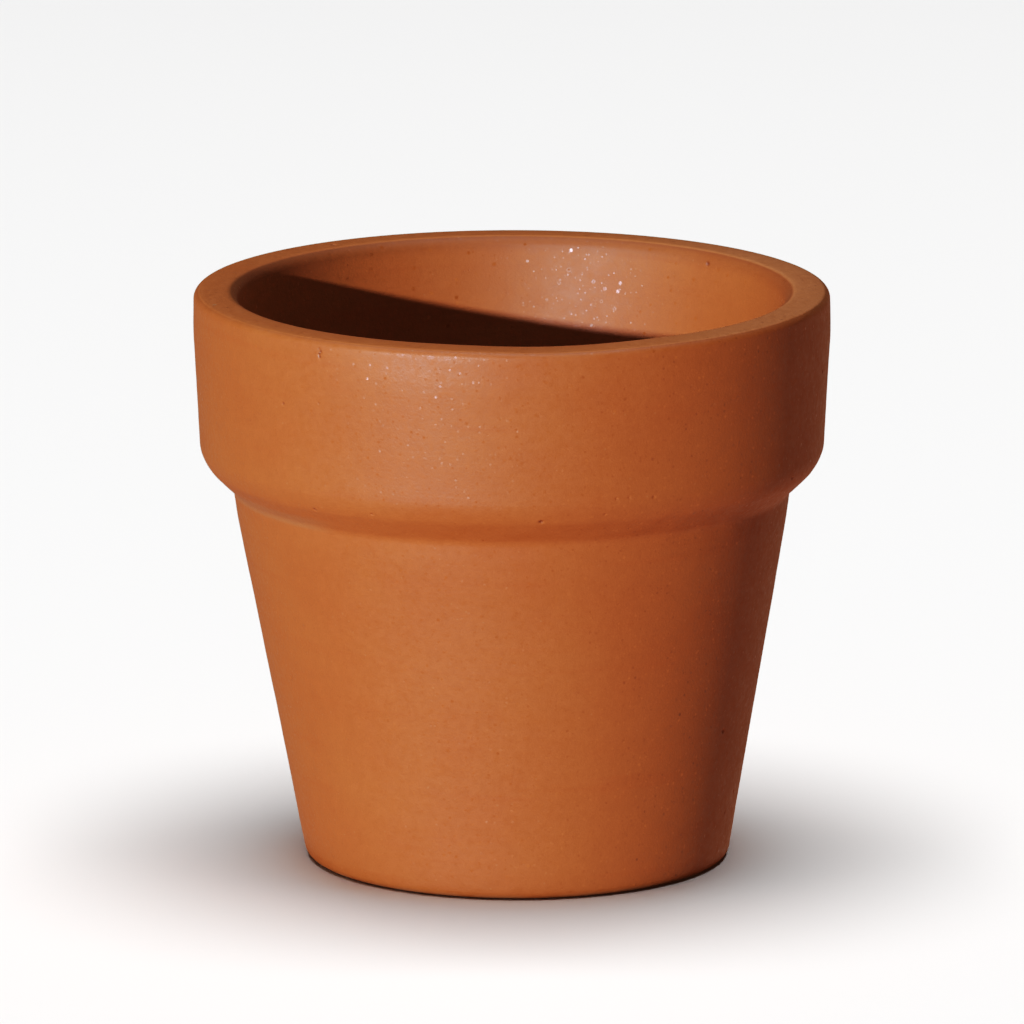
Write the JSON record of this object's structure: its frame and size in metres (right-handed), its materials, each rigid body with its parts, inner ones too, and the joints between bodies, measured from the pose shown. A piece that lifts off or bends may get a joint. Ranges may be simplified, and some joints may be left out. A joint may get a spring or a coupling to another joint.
{
  "type": "flower pot",
  "caption": "Round tapered flower pot in unglazed fired clay, with a thick collar round the mouth and a drainage hole in the floor.",
  "frame": {"origin": "centre of the pot on the surface that it stands on", "axes": "+Z along the pot's axis, out of its mouth; +X and +Y are alike, because the pot is turned about Z"},
  "size_m": [0.1098, 0.1098, 0.0994],
  "materials": {
    "terracotta": "matte"
  },
  "bodies": {
    "root": {"pot": "terracotta"}
  },
  "joints": []
}
